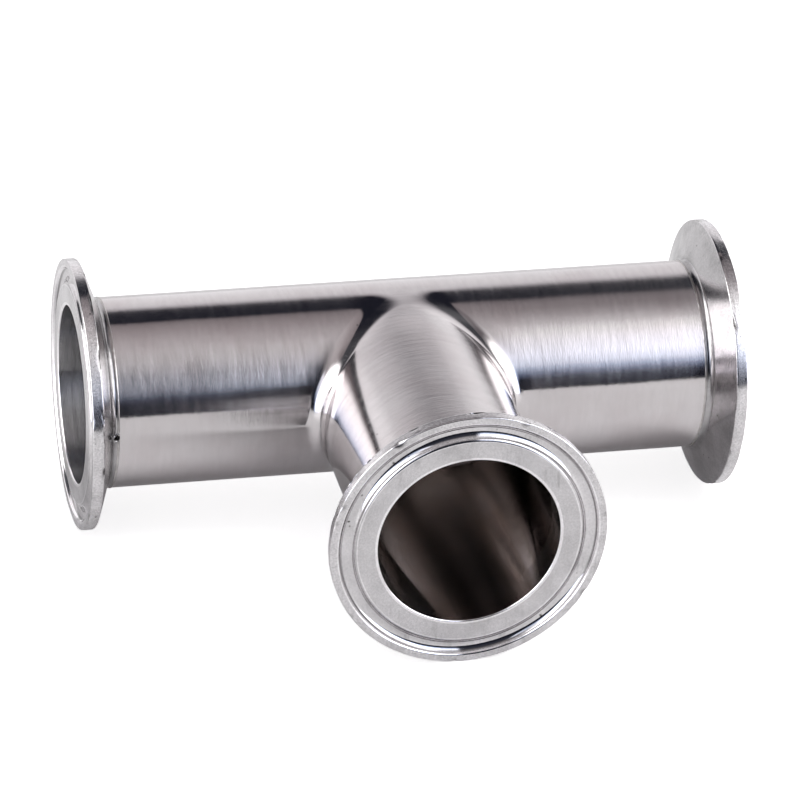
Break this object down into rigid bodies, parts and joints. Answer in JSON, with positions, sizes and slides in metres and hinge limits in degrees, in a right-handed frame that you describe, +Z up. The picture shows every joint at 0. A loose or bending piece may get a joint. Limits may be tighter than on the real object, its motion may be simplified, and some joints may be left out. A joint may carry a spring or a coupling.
{
  "type": "pipe tee",
  "caption": "Equal pipe tee of polished steel tube, with a grooved clamp ferrule welded to each port.",
  "frame": {"origin": "where the centrelines of the run and the branch cross, midway along the run", "axes": "+X along the run, the branch leaves along -Y, +Z up: the tee lies on the rims of its three ferrules, on a floor at Z = -0.032"},
  "size_m": [0.156, 0.11, 0.064],
  "materials": {
    "tube_steel": "stainless steel, satin brushed round the tube, buffed bright in the crotch",
    "ferrule_steel": "stainless steel, turned and polished, fine handling scratches",
    "weld_steel": "stainless steel weld bead, ground nearly flush, slightly grainy"
  },
  "bodies": {
    "root": {"tee_body": "tube_steel", "run_ferrule_left": "ferrule_steel", "run_ferrule_right": "ferrule_steel", "branch_ferrule": "ferrule_steel", "run_weld_left": "weld_steel", "run_weld_right": "weld_steel", "branch_weld": "weld_steel"}
  },
  "joints": []
}
